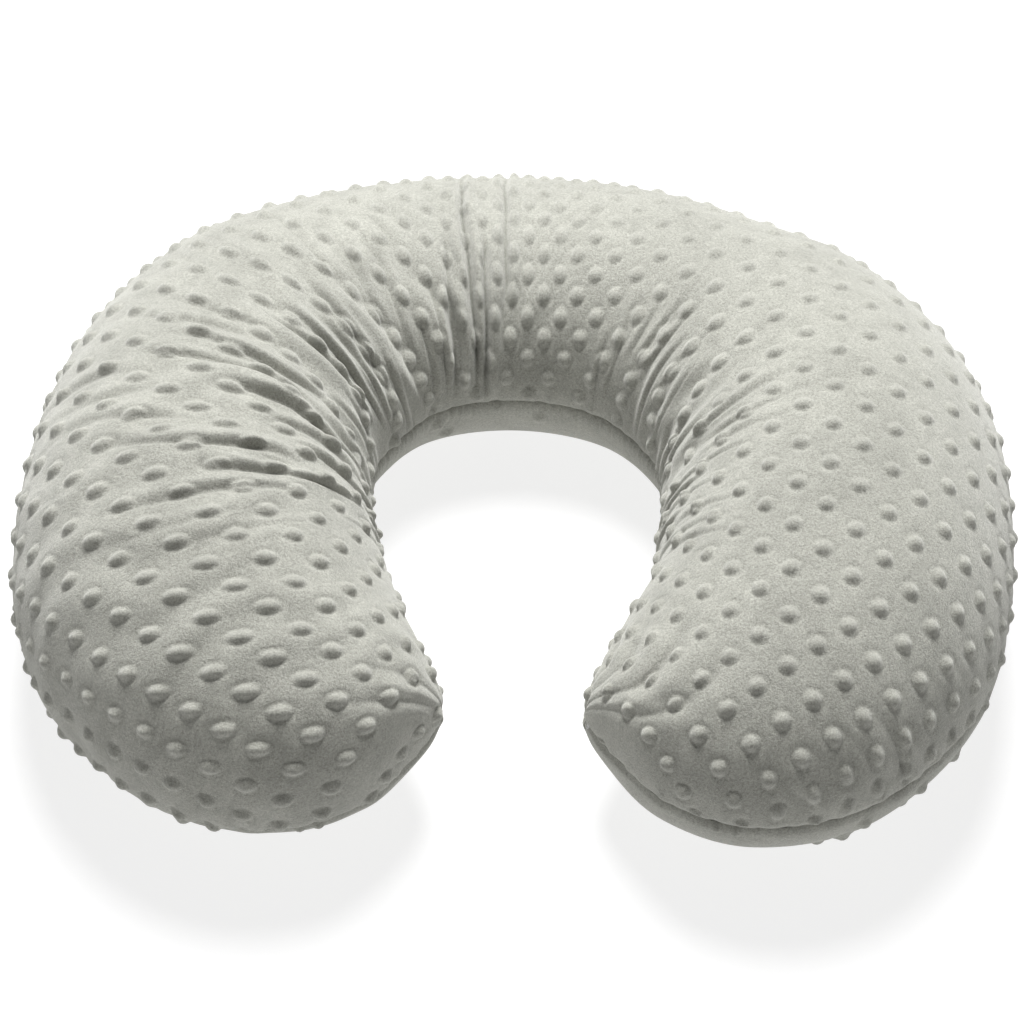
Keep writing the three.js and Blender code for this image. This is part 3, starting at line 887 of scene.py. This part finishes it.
def plush_material():
    made, tree, shader = material("plush_grey")
    place = object_place(tree)
    blotch = noise(tree, place, 16.0, 3.0)
    stroked = noise(tree, place, 38.0, 3.0, 0.6)
    nap = noise(tree, place, 90.0, 4.0, 0.65)
    tufts = noise(tree, place, 800.0, 4.0, 0.75)
    pile = noise(tree, place, 1900.0, 2.0, 0.7)
    stroked.inputs["Distortion"].default_value = 1.2
    colour = ramp(tree, blotch.outputs["Fac"], ((0.35, (0.49, 0.49, 0.44)), (0.65, (0.56, 0.56, 0.503))))
    for node, low, dark, high, amount in (
        (stroked, 0.38, (0.80, 0.80, 0.795), 0.55, 0.55),
        (nap, 0.32, (0.86, 0.86, 0.855), 0.68, 0.7),
        (tufts, 0.36, (0.52, 0.52, 0.51), 0.62, 0.75),
        (pile, 0.36, (0.55, 0.55, 0.54), 0.64, 0.7),
    ):
        shade = ramp(tree, node.outputs["Fac"], ((low, dark), (high, WHITE)))
        colour = mix(tree, colour, shade, amount, "MULTIPLY")
    # Painted shade: the colour is darkened along creases and grooves, read from the mesh's point
    # attribute.
    painted_shade = tree.nodes.new("ShaderNodeAttribute")
    painted_shade.attribute_name = "painted_shade"
    crease_shade_tone = ramp(tree, painted_shade.outputs["Fac"], ((0.0, WHITE), (1.0, (0.42, 0.42, 0.41))))
    colour = mix(tree, colour, crease_shade_tone, 1.0, "MULTIPLY")
    tree.links.new(colour, shader.inputs["Base Color"])
    set_inputs(shader, {
        "Roughness": 0.9, "Specular IOR Level": 0.25, "Sheen Weight": 0.6, "Sheen Roughness": 0.55,
        "Sheen Tint": (1.0, 1.0, 0.95, 1.0),
    })
    relief(tree, shader, (nap.outputs["Fac"], 0.35, 0.001), (tufts.outputs["Fac"], 0.8, 0.0008),
           (pile.outputs["Fac"], 0.6, 0.0004))
    return made


def cloth_material(name, light, dark, weave_size, roughness, sheen):
    """A plain woven cloth: two crossed sets of threads, with a little unevenness."""
    made, tree, shader = material(name)
    place = object_place(tree)
    threads = []
    for direction in ("X", "Z"):
        wave = tree.nodes.new("ShaderNodeTexWave")
        wave.bands_direction = direction
        set_inputs(wave, {
            "Scale": 1.0 / (weave_size * 3.2), "Distortion": 1.2, "Detail": 2.0, "Detail Scale": 2.0,
        })
        tree.links.new(place, wave.inputs["Vector"])
        threads.append(wave.outputs["Color"])
    weave = mix(tree, threads[0], threads[1], 0.5)
    slub = noise(tree, place, 260.0)
    ground = ramp(tree, slub.outputs["Fac"], ((0.3, dark), (0.7, light)))
    shade = ramp(tree, weave, ((0.2, (0.72, 0.72, 0.72)), (0.8, WHITE)))
    tree.links.new(mix(tree, ground, shade, 0.8, "MULTIPLY"), shader.inputs["Base Color"])
    set_inputs(shader, {"Roughness": roughness, "Sheen Weight": sheen})
    relief(tree, shader, (weave, 0.6, weave_size * 0.3))
    return made


def thread_material(name, light, dark):
    """Twisted sewing thread: slanting plies, a soft gloss."""
    made, tree, shader = material(name)
    place = object_place(tree)
    ply = tree.nodes.new("ShaderNodeTexWave")
    ply.bands_direction = "DIAGONAL"
    set_inputs(ply, {"Scale": 900.0, "Distortion": 0.6})
    tree.links.new(place, ply.inputs["Vector"])
    twist = ramp(tree, ply.outputs["Color"], ((0.2, dark), (0.8, light)))
    tree.links.new(twist, shader.inputs["Base Color"])
    set_inputs(shader, {"Roughness": 0.55, "Sheen Weight": 0.2})
    relief(tree, shader, (ply.outputs["Color"], 0.5, 0.0001))
    return made


def nylon_material():
    made, tree, shader = material("coil_nylon")
    cloud = noise(tree, object_place(tree), 500.0)
    tone = ramp(tree, cloud.outputs["Fac"], ((0.3, (0.30, 0.30, 0.28)), (0.7, (0.40, 0.40, 0.375))))
    tree.links.new(tone, shader.inputs["Base Color"])
    shader.inputs["Roughness"].default_value = 0.38
    relief(tree, shader, (cloud.outputs["Fac"], 0.2, 0.00005))
    return made


def metal_material():
    """Plated zinc with fine rubbing marks."""
    made, tree, shader = material("zip_plated_metal")
    place = object_place(tree)
    rub = noise(tree, place, 1400.0, 5.0, 0.7)
    cloud = noise(tree, place, 180.0)
    tone = ramp(tree, cloud.outputs["Fac"], ((0.3, (0.33, 0.325, 0.31)), (0.7, (0.43, 0.425, 0.41))))
    tree.links.new(tone, shader.inputs["Base Color"])
    shader.inputs["Metallic"].default_value = 1.0
    worn = ramp(tree, rub.outputs["Fac"], ((0.3, (0.22, 0.22, 0.22)), (0.7, (0.42, 0.42, 0.42))))
    tree.links.new(worn, shader.inputs["Roughness"])
    relief(tree, shader, (rub.outputs["Fac"], 0.15, 0.00004))
    return made


def filling_material():
    """Matted polyester fibre."""
    made, tree, shader = material("fibre_white")
    place = object_place(tree)
    tufts = noise(tree, place, 90.0, 6.0, 0.75)
    strands = noise(tree, place, 700.0, 4.0, 0.8)
    ground = ramp(tree, tufts.outputs["Fac"], ((0.3, (0.70, 0.70, 0.69)), (0.7, (0.86, 0.86, 0.85))))
    fine = ramp(tree, strands.outputs["Fac"], ((0.3, (0.8, 0.8, 0.8)), (0.7, WHITE)))
    tree.links.new(mix(tree, ground, fine, 0.7, "MULTIPLY"), shader.inputs["Base Color"])
    set_inputs(shader, {"Roughness": 0.95, "Sheen Weight": 0.3})
    relief(tree, shader, (tufts.outputs["Fac"], 0.8, 0.002))
    return made


# ---------------------------------------------------------------- camera, light and floor

CAMERA_TARGET = (0.0, -7.0, 56.0)
CAMERA_DISTANCE = 1726.0
CAMERA_ELEVATION = 51.7
CAMERA_AZIMUTH = -1.23
CAMERA_ROLL = 2.45
CAMERA_LENS = 112.7
CAMERA_SHIFT = (-0.0044, -0.006)

SOFTBOX_PLACE = (-0.05, 0.88, 1.65)
SOFTBOX_AIM = (0.0, 0.0, 0.05)
SOFTBOX_SIZE = 0.9
SOFTBOX_WATTS = 63.0
WORLD_LIGHT = 0.27
FLOOR_GLOW = 0.77
FLOOR_REACH = 20000.0


def set_camera():
    elevation = math.radians(CAMERA_ELEVATION)
    azimuth = math.radians(CAMERA_AZIMUTH)
    roll = math.radians(CAMERA_ROLL)
    level = math.cos(elevation)
    back = Vector((math.sin(azimuth) * level, -math.cos(azimuth) * level, math.sin(elevation)))
    right = Vector((math.cos(azimuth), math.sin(azimuth), 0.0))
    up = back.cross(right)
    turned_right = right * math.cos(roll) + up * math.sin(roll)
    turned_up = up * math.cos(roll) - right * math.sin(roll)
    data = bpy.data.cameras.new("camera")
    data.lens = CAMERA_LENS
    data.sensor_width = 36.0
    data.shift_x, data.shift_y = CAMERA_SHIFT
    camera = bpy.data.objects.new("camera", data)
    place = (Vector(CAMERA_TARGET) + back * CAMERA_DISTANCE) * MM
    turn = Matrix((turned_right, turned_up, back)).transposed().to_4x4()
    camera.matrix_world = Matrix.Translation(place) @ turn
    bpy.context.scene.collection.objects.link(camera)
    bpy.context.scene.camera = camera


def set_light():
    world = bpy.data.worlds.new("studio")
    world.use_nodes = True
    background = world.node_tree.nodes["Background"]
    set_inputs(background, {"Color": (1.0, 1.0, 1.0, 1.0), "Strength": WORLD_LIGHT})
    bpy.context.scene.world = world
    data = bpy.data.lights.new("softbox", "AREA")
    data.shape = "DISK"
    data.size = SOFTBOX_SIZE
    data.energy = SOFTBOX_WATTS
    light = bpy.data.objects.new("softbox", data)
    light.location = SOFTBOX_PLACE
    aim = Vector(SOFTBOX_AIM) - Vector(SOFTBOX_PLACE)
    light.rotation_euler = aim.to_track_quat("-Z", "Y").to_euler()
    bpy.context.scene.collection.objects.link(light)
    bpy.context.scene.view_settings.view_transform = "Standard"


def set_floor():
    far = FLOOR_REACH
    corners = [(-far, -far, 0), (far, -far, 0), (far, far, 0), (-far, far, 0)]
    floor = mesh_object("floor", corners, [(0, 1, 2, 3)])
    made, tree, shader = material("floor_white")
    grain = noise(tree, object_place(tree), 3.0)
    tone = ramp(tree, grain.outputs["Fac"], ((0.0, (0.29, 0.29, 0.29)), (1.0, (0.31, 0.31, 0.31))))
    tree.links.new(tone, shader.inputs["Base Color"])
    set_inputs(shader, {
        "Roughness": 0.9, "Emission Color": (1.0, 1.0, 1.0, 1.0), "Emission Strength": FLOOR_GLOW,
    })
    floor.data.materials.append(made)


# ---------------------------------------------------------------- the zip

TAPE_OUT = (-6.8, -7.4)
TAPE_UP = (0.6, 10.5)
TAPE_WAVE = 0.12
TAPE_OVERRUN = 1.34
COIL_PITCH = 1.5
COIL_WIRE = 0.3
COIL_OUT = -5.4
COIL_OUT_REACH = 0.85
COIL_UP = 1.55
COIL_UP_REACH = 1.6
STITCH_UP = 7.5
STITCH_OUT = -0.55
STITCH_LENGTH = 3.0
STITCH_GAP = 1.0
STITCH_RADIUS = 0.3


def on_arc(angle, out, up):
    """Points on the back's arc, out from it and up from the seam."""
    turn = np.radians(angle)
    reach = BACK_RADIUS + out
    level = SEAM_Z + up + 0 * turn
    return np.stack([reach * np.sin(turn), BACK_CENTRE_Y + reach * np.cos(turn), level], -1)


def tube(path, radius, sides=6):
    """Rings of points round a path, and the faces that close them into a tube."""
    ahead = np.gradient(path, axis=0)
    ahead /= np.linalg.norm(ahead, axis=1, keepdims=True) + 1e-12
    upright = np.array([0.0, 0.0, 1.0])
    across = np.cross(ahead, upright)
    across /= np.linalg.norm(across, axis=1, keepdims=True) + 1e-9
    over = np.cross(across, ahead)
    turns = np.linspace(0, 2 * np.pi, sides, endpoint=False)
    ring = across[:, None] * np.cos(turns)[None, :, None] + over[:, None] * np.sin(turns)[None, :, None]
    radii = np.broadcast_to(radius, (len(path),))[:, None, None]
    points = path[:, None] + ring * radii
    return points.reshape(-1, 3), closed_faces(len(path), sides)


def joined(parts):
    """One list of points and faces from several."""
    points = []
    faces = []
    start = 0
    for part_points, part_faces in parts:
        points.append(part_points)
        faces.extend([[index + start for index in face] for face in part_faces])
        start += len(part_points)
    return np.concatenate(points), faces


def made_piece(name, points, faces, body, finish, slot, *replaced):
    piece = mesh_object(name, points, faces)
    piece.data.materials.append(finish)
    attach(piece, body)
    if replaced:
        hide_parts(*replaced)
    return piece


def strip(line, steps, flip=False):
    """A thin strip. line(face, share) is a line along its front (0) or back (1)."""
    shares = np.linspace(0, 1, steps)
    lines = [line(0, share) for share in shares] + [line(1, share) for share in shares[::-1]]
    points = np.stack(lines, axis=1)
    return points.reshape(-1, 3), closed_faces(len(points), len(lines), flip)


def tape_piece(level, side, finish):
    """A woven tape of the zip, with a slightly wavy free edge."""
    reach = ZIP_HALF_ANGLE + TAPE_OVERRUN
    angles = np.linspace(-reach, reach, 300)

    def line(face, share):
        up = side * (TAPE_UP[0] + (TAPE_UP[1] - TAPE_UP[0]) * share)
        return on_arc(angles, TAPE_OUT[face] + TAPE_WAVE * share * np.sin(angles * 2.3), up)

    points, faces = strip(line, 9, flip=(side > 0))
    return made_piece("zip_tape_woven_" + level, points, faces, "cushion", finish,
                      "zip_tape", "zip_tape_" + level)


def coil_piece(level, side, finish):
    """A nylon coil of the zip: one wire wound round and round along the tape's edge."""
    pitch = math.degrees(COIL_PITCH / (BACK_RADIUS + COIL_OUT))
    turns = int(2 * (ZIP_HALF_ANGLE - 0.4) / pitch)
    steps = turns * 10
    wound = np.arange(steps + 1) / 10
    angles = -turns * pitch / 2 + (wound + (0.25 if side > 0 else -0.25)) * pitch
    phase = 2 * np.pi * wound
    out = COIL_OUT + COIL_OUT_REACH * np.cos(phase)
    up = side * (COIL_UP + COIL_UP_REACH * np.sin(phase))
    points, faces = tube(on_arc(angles, out, up), COIL_WIRE, 5)
    return made_piece("zip_coil_wound_" + level, points, faces, "cushion", finish,
                      "zip_coil", "zip_coil_" + level)


def stitch(start, end, radius):
    """One stitch: a short thread that dips into the cloth at both ends."""
    shares = np.linspace(0, 1, 6)
    path = start[None] + (end - start)[None] * shares[:, None]
    return tube(path, radius * (0.35 + 0.65 * np.sin(np.pi * shares)), 6)


def topstitch_piece(level, side, finish):
    pitch = math.degrees((STITCH_LENGTH + STITCH_GAP) / BACK_RADIUS)
    length = math.degrees(STITCH_LENGTH / BACK_RADIUS)
    count = int(2 * ZIP_HALF_ANGLE / pitch)
    parts = []
    for k in range(count):
        start = -ZIP_HALF_ANGLE + k * pitch
        ends = on_arc(np.array([start, start + length]), STITCH_OUT, side * STITCH_UP)
        parts.append(stitch(ends[0], ends[1], STITCH_RADIUS))
    points, faces = joined(parts)
    return made_piece("zip_stitches_" + level, points, faces, "cushion", finish,
                      "cover_thread", "zip_topstitch_" + level)


# ---------------------------------------------------------------- seams, label and inner cushion

LABEL_ANGLES = (-6.0, 1.0)
LABEL_TOP = (-8.65, -11.5)
LABEL_FOOT = (-15.65, -33.0)
LABEL_THICKNESS = 0.3
LABEL_CURL = 0.5
CASING_PLAN_INSET = 10.5
CASING_CROWN_INSET = 5.0
FILLING_GAP = 1.5
COVER_SEAM_INSET = 6.0
COVER_SEAM_FROM = 32.5
CASING_SEAM_INSET = 9.4
SEAM_END = 0.97
SEAM_STITCH_RADIUS = 0.22
CASING_END = 0.985
CASING_RIPPLE = 0.5


def seam_stitches(name, inset, from_angle, finish, slot, node):
    """The row of stitches that closes a seam, from one end of the opening round both lobes."""
    parts = []
    outer_start = from_angle / back_angle(1.0)
    for side in (-1.0, 1.0):
        for angle, start in ((0.0, outer_start), (180.0, 0.0)):
            shares = np.linspace(start, SEAM_END, 400) * side
            path = surface(shares, np.full(shares.shape, angle), inset)
            run = np.concatenate([[0.0], np.cumsum(np.linalg.norm(np.diff(path, axis=0), axis=1))])
            place = 0.0
            while place + STITCH_LENGTH < run[-1]:
                ends = []
                for at in (place, place + STITCH_LENGTH):
                    ends.append([np.interp(at, run, path[:, k]) for k in range(3)])
                parts.append(stitch(np.array(ends[0]), np.array(ends[1]), SEAM_STITCH_RADIUS))
                place += STITCH_LENGTH + STITCH_GAP
    points, faces = joined(parts)
    return made_piece(name, points, faces, "cushion", finish, slot, node)


def label_piece(finish):
    """A blank woven label, folded over and sewn in under the zip."""
    angles = np.linspace(LABEL_ANGLES[0], LABEL_ANGLES[1], 60)

    def line(face, share):
        out = LABEL_TOP[0] + (LABEL_FOOT[0] - LABEL_TOP[0]) * share
        up = LABEL_TOP[1] + (LABEL_FOOT[1] - LABEL_TOP[1]) * share
        curl = LABEL_CURL * share * np.sin((angles - LABEL_ANGLES[0]) * 0.9)
        return on_arc(angles, out + curl - face * LABEL_THICKNESS, up)

    points, faces = strip(line, 30)
    return made_piece("care_label_blank", points, faces, "cushion", finish, "care_label", "care_label")


def inner_piece(name, start, stop, gap, finish, slot, node):
    """The inner cushion's cloth or filling: a plain, softly wrinkled shape inside the cover."""
    closed = stop - start == 360
    f = np.linspace(-CASING_END, CASING_END, 241)
    angles = np.linspace(start, stop, 61, endpoint=not closed)
    stations, turns = np.meshgrid(f, angles, indexing="ij")
    points = surface(stations, turns, CASING_PLAN_INSET + gap, CASING_CROWN_INSET + gap)
    normals = outward_normals(points)
    wave = np.sin(stations * 120.0 + 1.5 * np.sin(turns / 23.0))
    ripple = CASING_RIPPLE * (wave * np.sin(np.radians(turns)) ** 2 - 1)
    points = points + normals * ripple[..., None]
    faces = closed_faces(len(f), len(angles), flip=True, wrap=closed)
    piece = made_piece(name, points.reshape(-1, 3), faces, "cushion", finish, slot, node)
    return piece


# ---------------------------------------------------------------- making it all

METAL_NODES = (
    "zip_slider_body", "zip_pull_tab", "zip_top_stop_upper", "zip_top_stop_lower", "zip_bottom_stop",
)

set_camera()
set_light()
set_floor()
sim_f, sim_angles, outwards = simulated_cloth()
folds = (sim_f, sim_angles, wrinkles_of(outwards))
plush = plush_material()
for piece in cover_pieces("cover_plush_top", folds, "top", "cover_top_panel"):
    piece.data.materials.append(plush)
for piece in cover_pieces("cover_plush_base", folds, "base", "cover_bottom_panel"):
    piece.data.materials.append(plush)

grey_thread = thread_material("thread_grey", (0.46, 0.46, 0.43), (0.34, 0.34, 0.315))
white_thread = thread_material("thread_white", (0.82, 0.82, 0.80), (0.66, 0.66, 0.64))
tape = cloth_material("tape_grey", (0.42, 0.42, 0.39), (0.34, 0.34, 0.315), 0.0006, 0.75, 0.1)
label = cloth_material("label_white", (0.86, 0.86, 0.84), (0.78, 0.78, 0.76), 0.0004, 0.5, 0.15)
casing = cloth_material("casing_white", (0.84, 0.84, 0.82), (0.76, 0.76, 0.74), 0.0008, 0.8, 0.2)
nylon = nylon_material()
metal = metal_material()
filling = filling_material()
for level, side in (("upper", 1.0), ("lower", -1.0)):
    tape_piece(level, side, tape)
    coil_piece(level, side, nylon)
    topstitch_piece(level, side, grey_thread)
label_piece(label)
seam_stitches("cover_seam_stitches", COVER_SEAM_INSET, COVER_SEAM_FROM, grey_thread, "cover_thread",
              "cover_seam_thread")
seam_stitches("casing_seam_stitches", CASING_SEAM_INSET, 0.0, white_thread, "casing_thread",
              "inner_casing_seam_thread")
inner_piece("casing_top_cloth", 0, 180, 0.0, casing, "inner_casing", "inner_casing_top_panel")
inner_piece("casing_base_cloth", 180, 360, 0.0, casing, "inner_casing", "inner_casing_bottom_panel")
inner_piece("filling_mass", 0, 360, FILLING_GAP, filling, "fibre_filling", "fibre_filling")
for name in METAL_NODES:
    hardware = nodes[name]
    hardware.data.materials.clear()
    hardware.data.materials.append(metal)
    rounded = hardware.modifiers.new("rounded", "BEVEL")
    rounded.width = 0.00018
    rounded.segments = 2
    rounded.limit_method = "ANGLE"
    rounded.angle_limit = math.radians(40)
